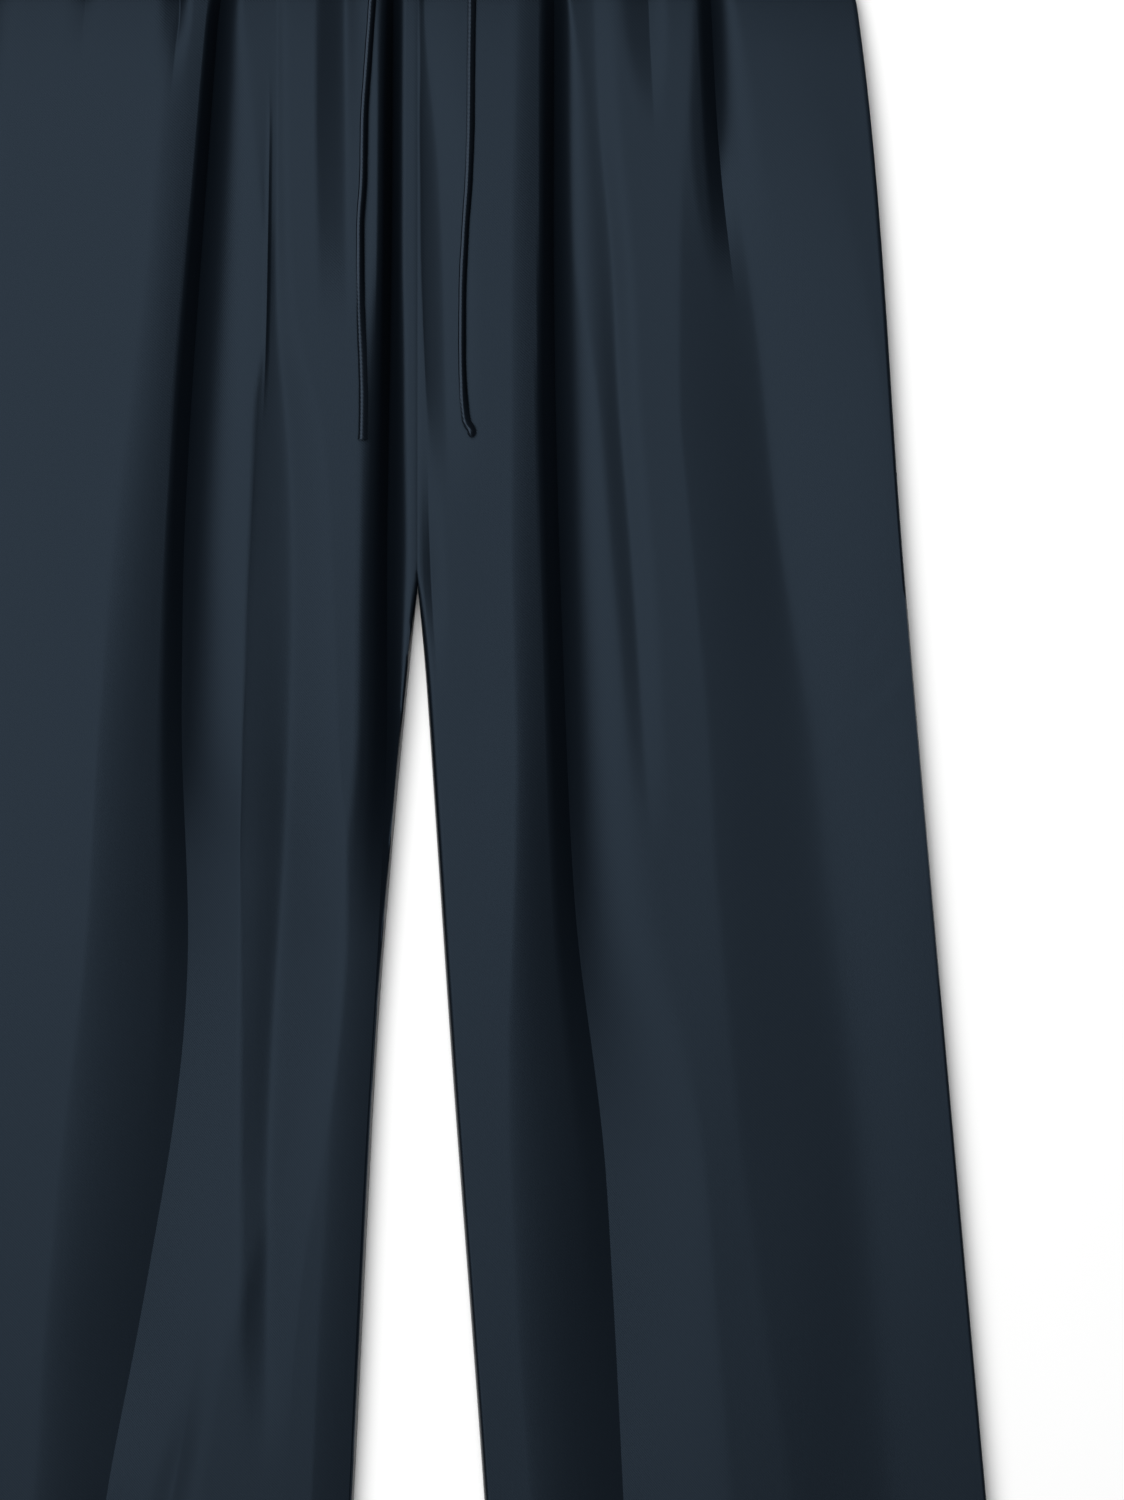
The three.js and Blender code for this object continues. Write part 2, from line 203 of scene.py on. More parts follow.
# Folds of the front, left to right across the picture. Each row is a section of one fold:
# its drop, the x of its line, how far it reaches to the left and to the right of that line,
# the share of the stand-off that it takes away, and how hollow its left and right sides are.
# A side with a bend of 1 is a straight slope, and with 3 it is gentle above and steep at the line.
# A fold with a steep left side has two more: the share of that side that is a gentle slope, and
# the width of the steep wall that the rest of it falls down. Other folds leave them out.
foldColumns = ("drop", "x", "left", "right", "depth", "leftBend", "rightBend", "slope", "wall")
plainSide = (1, 10)  # slope and wall of a fold that leaves them out
folds = {
    "left": {
        "side gather": [
            (38, -175, 6, 7, 0.7, 1.6, 1.6), (52, -179, 7, 7, 0, 1.6, 1.6), (600, -222, 8, 8, 0, 1.6, 1.6),
            (1083, -276, 8, 8, 0, 1.6, 1.6)],
        "outer gather": [
            (38, -158, 8, 8, 0.7, 1.6, 1.6), (58, -159, 9, 8, 0.1, 1.4, 1.6),
            (80, -161, 9, 8, 0, 1.4, 1.6), (600, -205, 9, 9, 0, 1.6, 1.6), (1083, -260, 9, 9, 0, 1.6, 1.6)],
        "hip gather": [
            (38, -138, 8, 8, 0.6, 1.6, 1.6), (52, -140, 8, 8, 0, 1.6, 1.6), (600, -188, 9, 9, 0, 1.6, 1.6),
            (1083, -243, 9, 9, 0, 1.6, 1.6)],
        "short fold": [
            (38, -115, 7, 6, 0.7, 1.4, 1.5), (60, -114, 10, 6, 0.24, 1.1, 1.5),
            (74, -114, 9, 6, 0.17, 1.1, 1.5), (92, -117, 7, 6, 0, 1.4, 1.5),
            (600, -172, 8, 8, 0, 1.6, 1.6), (1083, -226, 8, 8, 0, 1.6, 1.6)],
        "thigh fold": [
            (38, -93, 7, 8, 0.85, 1.5, 1.5, 0.4, 4), (60, -95, 18, 12, 0.95, 1.4, 2.2, 0.3, 4.3),
            (74, -97, 22, 16, 0.96, 1.4, 2.8, 0.32, 4.6), (118, -99.8, 24, 30, 0.97, 1.4, 4, 0.35, 5),
            (180, -104.2, 25, 40, 0.97, 1.5, 4.2, 0.38, 6), (252, -109.2, 29, 44, 0.97, 1.5, 4, 0.42, 7),
            (324, -113, 34, 45, 0.95, 1.4, 3.6, 0.5, 7.2), (420, -114, 40, 52, 0.88, 1.25, 3, 0.7, 9),
            (470, -111.4, 45, 68, 0.85, 1.25, 2.2, 0.82, 11), (516, -110, 49, 76, 0.82, 1.25, 2, 0.92, 12),
            (564, -112.8, 52, 76, 0.76, 1.3, 1.8, 0.97, 12), (612, -119, 52, 60, 0.7, 1.35, 1.3, 1, 12),
            (708, -136, 44, 42, 0.58, 1.3, 1.15, 1, 12), (770, -148.5, 35, 46, 0.41, 1.3, 1.2, 1, 12),
            (1083, -190, 32, 46, 0.36, 1.3, 1.2, 1, 12)],
        "low fold": [
            (38, -83, 5, 5, 0, 1.5, 1.5), (708, -106, 5, 6, 0, 1.5, 1.5),
            (740, -110.5, 6, 7, 0.03, 1, 1.5), (760, -114.5, 10, 9, 0.13, 1, 1.5),
            (800, -123, 11, 9, 0.14, 1.1, 1.5), (850, -136, 9, 8, 0.06, 1.3, 1.5),
            (885, -142, 8, 8, 0, 1.5, 1.5), (1083, -160, 8, 8, 0, 1.5, 1.5)],
        "pinched ridge": [
            (38, -74, 2, 2, 0, 1.2, 1.2), (105, -70.4, 1.2, 1.4, 0, 1, 1.1),
            (132, -71, 1.3, 1.4, -0.028, 1, 1.1), (180, -71.6, 1.4, 1.4, -0.042, 1, 1.1),
            (225, -72.4, 1.4, 1.4, -0.034, 1, 1.1), (250, -73.4, 1.3, 1.5, 0, 1, 1.1),
            (600, -92, 3, 3, 0, 1.2, 1.2), (1083, -130, 3, 3, 0, 1.2, 1.2)],
        "pinch": [
            (38, -68, 18, 5, 0.08, 1.1, 1.5), (74, -67.5, 18, 4, 0.08, 1.1, 1.5),
            (118, -67.4, 11, 4, 0.07, 1.1, 1.5), (180, -67.6, 3.5, 5, 0.09, 1, 1.5),
            (225, -67, 5, 8, 0.09, 0.9, 1.4), (252, -63.6, 13, 14, 0.2, 0.8, 1.3),
            (285, -61.2, 16, 16, 0.23, 0.8, 1.3), (348, -60, 20, 18, 0.25, 0.8, 1.3),
            (420, -61.8, 20.5, 22, 0.32, 0.8, 1.25), (470, -63.6, 19.6, 28, 0.45, 0.84, 1.2),
            (516, -66.6, 16.8, 31, 0.49, 0.88, 1.15), (564, -69.6, 13.8, 30, 0.42, 0.9, 1.15),
            (612, -71.2, 12.4, 24, 0.33, 0.9, 1.2), (660, -71.8, 11.4, 16, 0.21, 0.9, 1.3),
            (708, -72.4, 9.8, 11, 0.11, 0.95, 1.3), (755, -73, 8, 10, 0, 1, 1.4),
            (1083, -104, 9, 12, 0, 1, 1.5)],
        "inner gather": [
            (38, -52, 7, 7, 0.6, 1.6, 1.6), (52, -52, 7, 7, 0, 1.6, 1.6), (600, -50, 8, 8, 0, 1.6, 1.6),
            (1083, -84, 8, 8, 0, 1.6, 1.6)],
        "soft fold": [
            (38, -36, 9, 7, 0.5, 1.3, 1.5), (58, -35, 12, 12, 0.31, 1, 1.7),
            (118, -34.4, 13, 16, 0.24, 0.95, 1.6), (170, -34, 12.5, 17, 0.17, 0.95, 1.5),
            (196, -34, 12, 17, 0.07, 1, 1.5), (215, -34, 12, 16, 0, 1, 1.5), (600, -38, 9, 6, 0, 1.4, 1.6),
            (1083, -70, 9, 6, 0, 1.4, 1.6)],
        "fly fold": [
            (38, -11.8, 6, 4.5, 0.9, 1.5, 1.3, 0.1, 4.2), (74, -12.1, 7, 4.5, 0.97, 1.5, 1.3, 0.12, 4.4),
            (118, -12.5, 7.5, 4.6, 0.97, 1.5, 1.3, 0.14, 4.6), (180, -12.8, 8, 5, 0.97, 1.5, 1.3, 0.16, 5),
            (252, -13.8, 13, 8, 0.97, 1.4, 1.6, 0.3, 5.6), (324, -15, 12.5, 11, 0.92, 1.4, 1.7, 0.5, 6),
            (420, -14.6, 14, 6, 0.72, 1.3, 1.3, 0.62, 7), (470, -17, 18, 4, 0.36, 1.5, 1.3, 0.9, 8),
            (516, -19, 20, 3, 0.19, 1.6, 1.4, 1, 8), (612, -25, 18, 3, 0.17, 1.4, 1.4, 1, 8),
            (708, -29.8, 18.5, 3, 0.175, 1.25, 1.4, 1, 8), (770, -32.4, 18, 3, 0.175, 1.15, 1.4, 1, 8),
            (1083, -50, 18, 3, 0.17, 1.15, 1.4, 1, 8)],
    },
    "right": {
        "fork fold": [
            (38, 1.4, 1.2, 1.4, 0, 1.2, 1.4), (200, 2.6, 2, 3, 0, 1.2, 1.4), (286, 5, 4.5, 6, 0, 1.2, 1.4),
            (310, 5.6, 5, 7, 0.06, 1.2, 1.4), (336, 6.4, 5.6, 7, 0.11, 1.2, 1.4),
            (354, 7.4, 5.5, 7, 0.07, 1.2, 1.4), (376, 9, 4.5, 6, 0, 1.2, 1.4),
            (600, 22, 3, 4, 0, 1.2, 1.5), (1083, 58, 4, 4, 0, 1.2, 1.5)],
        "fly ripple": [
            (38, 3.2, 2.5, 12, 0.2, 1.2, 1.6), (62, 3.4, 2.2, 13, 0.05, 1.2, 1.6),
            (90, 4.4, 2.4, 14, 0.05, 0.9, 1.6), (110, 7.4, 5, 15, 0.09, 0.8, 1.6),
            (122, 9.2, 6.5, 15, 0.12, 0.8, 1.6), (180, 12, 9, 15, 0.14, 0.8, 1.6),
            (252, 13.6, 8, 15, 0.11, 0.85, 1.6), (274, 14.4, 7, 15, 0.04, 1, 1.6),
            (290, 15, 6, 15, 0, 1.2, 1.6), (600, 26, 6, 6, 0, 1.2, 1.5), (1083, 64, 6, 6, 0, 1.2, 1.5)],
        "inner gather": [
            (38, 40, 8, 8, 0.6, 1.6, 1.6), (52, 40, 8, 8, 0, 1.6, 1.6), (600, 45, 8, 8, 0, 1.6, 1.6),
            (1083, 72, 8, 8, 0, 1.6, 1.6)],
        "thigh fold": [
            (38, 65, 9, 7, 0.85, 1.4, 1.4, 0.4, 5), (60, 65.6, 18, 7, 0.96, 1.3, 1.4, 0.3, 5.4),
            (118, 65.4, 19, 20, 0.97, 1.3, 3.7, 0.28, 5.6), (180, 65.2, 20, 30, 0.97, 1.3, 4.6, 0.26, 6),
            (252, 66.2, 21, 38, 0.97, 1.3, 4.5, 0.27, 8), (324, 68, 23, 42, 0.96, 1.3, 4.7, 0.33, 8),
            (420, 71.6, 24, 45, 0.92, 1.3, 4.2, 0.44, 8.4), (470, 73.8, 27, 45, 0.87, 1.3, 3.4, 0.56, 9),
            (516, 77, 32, 45, 0.8, 1.35, 2.5, 0.7, 10), (560, 83.4, 40, 46, 0.75, 1.4, 1.8, 0.86, 12),
            (612, 90, 46, 48, 0.7, 1.45, 1.4, 0.94, 12), (708, 95.4, 47, 50, 0.62, 1.45, 1.35, 1, 12),
            (770, 98.4, 45, 52, 0.54, 1.4, 1.35, 1, 12), (1083, 114, 42, 52, 0.45, 1.4, 1.35, 1, 12)],
        "branch": [
            (38, 84, 13, 8, 0.14, 1, 1.3), (60, 84.5, 13, 8, 0.11, 1, 1.3),
            (118, 86.5, 14, 8, 0.13, 1, 1.3), (180, 93, 17, 8, 0.17, 1, 1.3),
            (222, 95, 12, 8, 0.16, 1, 1.3), (252, 96.4, 9, 8, 0.13, 1, 1.4),
            (324, 102.5, 9, 9, 0.11, 1.05, 1.4), (372, 106, 8, 9, 0.09, 1.1, 1.4),
            (420, 108.5, 7, 9, 0.05, 1.1, 1.4), (458, 112, 6, 8, 0, 1.1, 1.4),
            (600, 124, 6, 8, 0, 1.2, 1.5), (1083, 152, 6, 8, 0, 1.2, 1.5)],
        "short fold": [
            (38, 109, 9, 7, 0.5, 1.3, 1.5), (58, 111, 13, 9, 0.2, 1, 1.5), (85, 112, 12, 9, 0.13, 1, 1.5),
            (98, 112.5, 9, 6, 0.06, 1, 1.5), (110, 113, 6, 5, 0, 1.3, 1.5), (600, 142, 7, 7, 0, 1.5, 1.5),
            (1083, 182, 7, 7, 0, 1.5, 1.5)],
        "side core": [
            (38, 139, 7, 7, 0.8, 1.5, 1.5, 0.4, 5), (60, 141, 9, 13, 0.74, 1.4, 2.4, 0.3, 5.5),
            (118, 143.6, 14, 22, 0.54, 1.2, 3, 0.4, 6.5), (150, 146.2, 14, 24, 0.28, 1.2, 2.4, 0.5, 7),
            (180, 149.5, 12, 24, 0.07, 1.2, 2.2, 0.7, 8), (196, 152, 10, 24, 0, 1.2, 2, 0.8, 8),
            (600, 196, 8, 8, 0, 1.2, 1.4), (1083, 240, 8, 8, 0, 1.2, 1.4)],
        "side fold": [
            (38, 151, 8, 7, 0.3, 1.4, 1.5), (52, 152, 8, 7, 0, 1.4, 1.5), (118, 151, 22, 44, 0.04, 1, 1.3),
            (146, 152, 24, 48, 0.14, 1, 1.2), (180, 157.7, 30, 52, 0.24, 1, 1.2),
            (221, 163.4, 36, 54, 0.29, 1.05, 1.2), (262, 167.8, 40, 56, 0.33, 1.08, 1.2),
            (305, 172, 40, 58, 0.33, 1.1, 1.2), (348, 178.3, 42, 58, 0.33, 1.1, 1.2),
            (413, 190, 45, 56, 0.3, 1.1, 1.2), (478, 196, 46, 56, 0.28, 1.1, 1.2),
            (555, 206, 49, 56, 0.25, 1.12, 1.2), (616, 213, 50, 55, 0.23, 1.12, 1.2),
            (694, 220, 46, 54, 0.19, 1.12, 1.2), (780, 227, 40, 54, 0.16, 1.12, 1.2),
            (1083, 252, 40, 46, 0.15, 1.12, 1.2)],
        "outer gather": [
            (38, 164, 8, 8, 0.65, 1.6, 1.6), (52, 166, 8, 8, 0, 1.6, 1.6), (600, 232, 8, 8, 0, 1.6, 1.6),
            (1083, 274, 8, 8, 0, 1.6, 1.6)],
        "side gather": [
            (38, 177, 6, 6, 0.7, 1.6, 1.6), (52, 180, 7, 7, 0, 1.6, 1.6), (600, 244, 8, 8, 0, 1.6, 1.6),
            (1083, 286, 8, 8, 0, 1.6, 1.6)],
    },
}

# Folds whose line is a soft hollow: how wide the hollow is, at each drop
softLines = {
    "soft fold": ((38, 1.5), (1083, 1.5)),
    "fly ripple": ((38, 0.8), (120, 1.6), (1083, 1.6)),
    "branch": ((38, 1.5), (1083, 1.5)),
    "pinch": ((38, 0.5), (300, 2), (1083, 2.5)),
    "low fold": ((38, 1.5), (1083, 1.5)),
    "side fold": ((38, 1), (340, 2.5), (480, 8), (1083, 9)),
}

# Faint wrinkles on the right leg: where, how long and wide, which way they run and how high
wrinkleColumns = ("x", "drop", "length", "width", "turn", "height")
wrinkles = [
    (206, 408, 16, 2.4, 52, 0.10), (214, 396, 15, 2.2, 58, -0.09), (222, 400, 18, 2.6, 47, 0.11),
    (226, 386, 14, 2.2, 60, -0.08), (209, 384, 12, 2.4, 42, 0.07), (216, 372, 13, 2.8, 66, -0.06),
]

panel = {
    "rows": ((panelDrop, 66, 16), (66, 520, 90), (520, length - 27, 58), (length - 27, length, 8)),
    "columnPitch": 1.35,     # average space between columns
    "leastColumns": 15,      # between two lines
    "closestColumns": 0.7,   # on average, where two lines come near each other
    "creaseFrom": 0.75,      # a fold deeper than this share has a creased line
    "gatherToLines": 0.105,  # how far columns crowd towards the lines of the folds
    "smoothing": 10.0,       # evens out the sections of a fold along its length
    "lineSmoothing": 18.0,   # and the way that its line takes
    "gatherSmoothing": 4.0,
    "gatherDrop": 90.0,      # above this a fold is a gather under the band, evened out less
    "gatherBlend": 30.0,
    "outerRoll": {"left": 22.0, "right": 1.2},
    "innerRoll": {"left": 1.2, "right": 2.4},
    "rollPower": {"left": 2.2, "right": 3.0},
    "seamDip": 0.012,
    "seamReach": 1.4,
    "forkBlend": 36.0,
    "crownBlend": (200.0, 520.0),
    "crownPower": {"left": 2.4, "right": 5.0},
    "wallBend": 1.15,
    "ripple": 0.006,         # share of the stand-off that faint ripples add and take away
    "rippleSize": (46, 190),
    "hemStep": 0.3,          # the turned hem is a little thicker
    "hemBlend": 1.0,
}
sharpAngle = 64.0  # cloth turned by more than this has a sharp edge


def spread(bands):
    runs = [np.linspace(start, end, count, endpoint=False) for start, end, count in bands]
    return np.concatenate([*runs, [bands[-1][1]]])


def evenOut(values, drops, width):
    span = np.linspace(drops[0], drops[-1], 700)
    pitch = span[1] - span[0]
    reach = int(3 * width / pitch)
    weights = np.exp(-0.5 * (np.arange(-reach, reach + 1) * pitch / width) ** 2)
    padded = np.pad(np.interp(span, drops, values), reach, mode="edge")
    return np.interp(drops, span, np.convolve(padded, weights / weights.sum(), "valid"))


def foldSections(name, rows, drops):
    table = np.array([row + plainSide[: len(foldColumns) - len(row)] for row in rows], float)
    out = {}
    for k, key in enumerate(foldColumns[1:], 1):
        exact = np.interp(drops, table[:, 0], table[:, k])
        near = evenOut(exact, drops, panel["gatherSmoothing"])
        far = evenOut(exact, drops, panel["lineSmoothing"] if key == "x" else panel["smoothing"])
        blend = ramp(drops, panel["gatherDrop"] - panel["gatherBlend"], panel["gatherDrop"])
        out[key] = near + (far - near) * blend
    out["soft"] = np.interp(drops, *np.array(softLines.get(name, ((0, 0), (1, 0)))).T)
    return out


def panelColumns(side, drops, sections):
    inner = innerOff(side, drops)
    outer = outerOff(drops)
    edges = (-outer, -inner) if side == "left" else (inner, outer)
    lines = [edges[0], *[section["x"] for section in sections], edges[1]]
    spans = []
    for before, after in zip(lines, lines[1:]):
        gap = float(np.mean(after - before))
        most = round(gap / panel["closestColumns"])
        count = max(min(panel["leastColumns"], most), round(gap / panel["columnPitch"]), 3)
        t = np.arange(count) / count
        t = t - panel["gatherToLines"] * np.sin(2 * np.pi * t)
        spans.append(before[:, None] + (after - before)[:, None] * t[None, :])
    columns = np.cumsum([span.shape[1] for span in spans])[:-1]
    creased = [section["depth"].max() > panel["creaseFrom"] for section in sections]
    return np.concatenate([*spans, lines[-1][:, None]], axis=1), columns[creased]


def wave(x, y, seedX, seedY, sizeX, sizeY):
    total = np.zeros_like(x)
    for k in range(5):
        turn = 0.9 * k + seedX
        phase = 2.1 * k + seedY
        total += np.sin(x / sizeX * math.cos(turn) * 6.28 + y / sizeY * math.sin(turn) * 6.28 + phase)
    return total / 5


def wrinkleHeight(x, d):
    total = np.zeros_like(x)
    for row in wrinkles:
        one = dict(zip(wrinkleColumns, row))
        turn = math.radians(one["turn"])
        dx, dy = x - one["x"], one["drop"] - d
        lengthwise = dx * math.cos(turn) + dy * math.sin(turn)
        across = dy * math.cos(turn) - dx * math.sin(turn)
        total += one["height"] * np.exp(-(lengthwise / one["length"]) ** 2 - (across / one["width"]) ** 2)
    return total


def frontHeight(side, x, drop, sections):
    off = np.abs(x)
    d = np.broadcast_to(drop[:, None], x.shape)
    inner = innerOff(side, drop)[:, None]
    outer = outerOff(drop)[:, None]
    u = np.clip((off - inner) / (outer - inner), 0, 1)
    split = ramp(d, fork - 6, fork + panel["forkBlend"])
    crownSplit = ramp(d, *panel["crownBlend"])

    def roll(distance, width):
        t = np.clip(distance / width, 0, 1)
        return np.sqrt(1 - (1 - t) ** panel["rollPower"][side])

    dip = 1 - panel["seamDip"] * (1 - split) * np.clip(1 - (off - inner) / panel["seamReach"], 0, 1)
    whole = 1 - u ** panel["crownPower"][side]
    halves = 1 - np.abs(2 * u - 1) ** panel["crownPower"][side]
    crown = along(standOff, "crown", drop)[:, None] * (whole + (halves - whole) * crownSplit)
    height = along(standOff, "edge", drop)[:, None] + crown
    innerEdge = split * roll(off - inner, panel["innerRoll"][side]) + 1 - split
    height = height * roll(outer - off, panel["outerRoll"][side]) * innerEdge * dip
    for section in sections:
        fold = {key: value[:, None] for key, value in section.items()}
        away = x - fold["x"]
        apart = np.hypot(away, fold["soft"]) - fold["soft"]
        rising = np.clip(1 - apart / fold["right"], 0, 1) ** fold["rightBend"]
        gentle = np.clip(1 - apart / fold["left"], 0, 1) ** fold["leftBend"]
        steep = np.clip(1 - apart / fold["wall"], 0, 1) ** panel["wallBend"]
        falling = fold["slope"] * gentle + (1 - fold["slope"]) * steep
        height = height * (1 - fold["depth"] * np.where(away < 0, falling, rising))
    height = height * (1 + panel["ripple"] * wave(x, d, 0.4, 1.7, *panel["rippleSize"]))
    if side == "right":
        height = height + wrinkleHeight(x, d)
    turnUp = length - garment["hemTurn"]
    hem = panel["hemStep"] * ramp(d, turnUp - panel["hemBlend"], turnUp + panel["hemBlend"])
    return garment["backCloth"] + garment["clothLift"] + height, hem


# A wall of cloth between two levels, closed all round. Cells that aren't kept are holes,
# and the columns named in creases are sharp.
def wallMesh(name, x, y, low, high, keep=None, creases=()):
    rows, columns = x.shape
    sheet = rows * columns
    points = np.zeros((2 * sheet, 3))
    points[:sheet] = np.stack([x, y, low], -1).reshape(-1, 3)
    points[sheet:] = np.stack([x, y, high], -1).reshape(-1, 3)
    index = np.arange(sheet).reshape(rows, columns)
    if keep is None:
        keep = np.ones((rows - 1, columns - 1), bool)
    corners = np.stack([index[:-1, :-1], index[1:, :-1], index[1:, 1:], index[:-1, 1:]], -1)
    padded = np.pad(keep, 1)
    beside = {
        (0, 1): padded[1:-1, :-2],
        (1, 2): padded[2:, 1:-1],
        (2, 3): padded[1:-1, 2:],
        (3, 0): padded[:-2, 1:-1],
    }
    faces = [corners[keep] + sheet, corners[keep][:, ::-1]]
    for (a, b), neighbour in beside.items():
        rim = corners[keep & ~neighbour]
        p, q = rim[:, a], rim[:, b]
        faces.append(np.stack([p, q, q + sheet, p + sheet], -1))
    mesh = bpy.data.meshes.new(name)
    mesh.from_pydata((points * mm).tolist(), [], np.concatenate(faces).tolist())
    mesh.shade_smooth()
    mesh.set_sharp_from_angle(angle=math.radians(sharpAngle))
    if len(creases):
        ends = np.zeros(2 * len(mesh.edges), int)
        mesh.edges.foreach_get("vertices", ends)
        column = ends.reshape(-1, 2) % columns
        sharp = (column[:, 0] == column[:, 1]) & np.isin(column[:, 0], creases)
        mark = mesh.attributes.get("sharp_edge") or mesh.attributes.new("sharp_edge", "BOOLEAN", "EDGE")
        before = np.zeros(len(sharp), bool)
        mark.data.foreach_get("value", before)
        mark.data.foreach_set("value", sharp | before)
    return addPiece(name, mesh)


def addPiece(name, mesh):
    piece = bpy.data.objects.new(name, mesh)
    bpy.context.scene.collection.objects.link(piece)
    return piece


def finishPiece(piece, finish, nodes=()):
    piece.data.materials.append(materials[finish])
    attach(piece, "root")
    if nodes:
        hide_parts(*nodes)
    return piece


# Materials
def socket(group, name, way, kind, value=None):
    made = group.interface.new_socket(name=name, in_out=way, socket_type=kind)
    if value is not None:
        made.default_value = value
    return made


weave = {
    "threadsPerWave": 0.16,
    "distortion": 0.6,
    "slubSize": 420.0,
    "slubDetail": 3.0,
    "mottleSize": 26.0,
    "mottleDetail": 4.0,
    "stretch": 0.09,       # slubs and mottle run along the legs
}


def noiseNode(group, scale, detail, vector):
    noise = group.nodes.new("ShaderNodeTexNoise")
    noise.inputs["Scale"].default_value = scale
    noise.inputs["Detail"].default_value = detail
    group.links.new(vector, noise.inputs["Vector"])
    return noise


def clothGroup():
    group = bpy.data.node_groups.new("satinWeave", "ShaderNodeTree")
    socket(group, "Thread", "INPUT", "NodeSocketFloat", 0.00035)
    socket(group, "Slub", "INPUT", "NodeSocketFloat", 0.5)
    socket(group, "Height", "OUTPUT", "NodeSocketFloat")
    socket(group, "Shade", "OUTPUT", "NodeSocketFloat")
    nodes, links = group.nodes, group.links
    start = nodes.new("NodeGroupInput")
    end = nodes.new("NodeGroupOutput")
    place = nodes.new("ShaderNodeTexCoord")
    scale = nodes.new("ShaderNodeMath")
    scale.operation = "DIVIDE"
    scale.inputs[0].default_value = weave["threadsPerWave"]
    links.new(start.outputs["Thread"], scale.inputs[1])
    twill = nodes.new("ShaderNodeTexWave")
    twill.wave_type = "BANDS"
    twill.bands_direction = "DIAGONAL"
    twill.inputs["Distortion"].default_value = weave["distortion"]
    links.new(place.outputs["Object"], twill.inputs["Vector"])
    links.new(scale.outputs[0], twill.inputs["Scale"])
    stretch = nodes.new("ShaderNodeMapping")
    stretch.inputs["Scale"].default_value = (1, weave["stretch"], 1)
    links.new(place.outputs["Object"], stretch.inputs["Vector"])
    slub = noiseNode(group, weave["slubSize"], weave["slubDetail"], stretch.outputs[0])
    mottle = noiseNode(group, weave["mottleSize"], weave["mottleDetail"], stretch.outputs[0])
    mix = nodes.new("ShaderNodeMath")
    mix.operation = "MULTIPLY_ADD"
    links.new(slub.outputs["Fac"], mix.inputs[0])
    links.new(start.outputs["Slub"], mix.inputs[1])
    links.new(twill.outputs["Fac"], mix.inputs[2])
    links.new(mix.outputs[0], end.inputs["Height"])
    links.new(mottle.outputs["Fac"], end.inputs["Shade"])
    return group


weaveGroup = clothGroup()

finishes = {
    "satin": {
        "dark": (0.0023, 0.0036, 0.0056), "pale": (0.0030, 0.0047, 0.0071),
        "roughness": 0.40, "specular": 0.161, "tint": (0.48, 0.70, 0.975),
        "thread": 0.00035, "slub": 0.6, "bump": 0.00002,
    },
    "band_satin": {
        "dark": (0.0023, 0.0036, 0.0056), "pale": (0.0030, 0.0047, 0.0071),
        "roughness": 0.42, "specular": 0.157, "tint": (0.48, 0.70, 0.975),
        "thread": 0.00035, "slub": 0.7, "bump": 0.00003,
    },
    "cord_satin": {
        "dark": (0.0020, 0.0031, 0.0048), "pale": (0.0028, 0.0043, 0.0064),
        "roughness": 0.36, "specular": 0.235, "tint": (0.53, 0.72, 0.98),
        "thread": 0.0005, "slub": 0.4, "bump": 0.00004,
    },
    "thread": {
        "dark": (0.0030, 0.0045, 0.0068), "pale": (0.0048, 0.0070, 0.0100),
        "roughness": 0.45, "specular": 0.22, "tint": (0.60, 0.78, 1.0),
        "thread": 0.0002, "slub": 0.3, "bump": 0.00002,
    },
}


def clothMaterial(name):
    values = finishes[name]
    material = bpy.data.materials.new(name)
    material.use_nodes = True
    nodes, links = material.node_tree.nodes, material.node_tree.links
    shader = nodes["Principled BSDF"]
    shader.inputs["Roughness"].default_value = values["roughness"]
    shader.inputs["Specular IOR Level"].default_value = values["specular"]
    shader.inputs["Specular Tint"].default_value = (*values["tint"], 1)
    grain = nodes.new("ShaderNodeGroup")
    grain.node_tree = weaveGroup
    grain.inputs["Thread"].default_value = values["thread"]
    grain.inputs["Slub"].default_value = values["slub"]
    colour = nodes.new("ShaderNodeMix")
    colour.data_type = "RGBA"
    colour.inputs["A"].default_value = (*values["dark"], 1)
    colour.inputs["B"].default_value = (*values["pale"], 1)
    links.new(grain.outputs["Shade"], colour.inputs["Factor"])
    links.new(colour.outputs["Result"], shader.inputs["Base Color"])
    bump = nodes.new("ShaderNodeBump")
    bump.inputs["Distance"].default_value = values["bump"]
    links.new(grain.outputs["Height"], bump.inputs["Height"])
    links.new(bump.outputs["Normal"], shader.inputs["Normal"])
    return material


materials = {name: clothMaterial(name) for name in finishes}
print("materials ready")


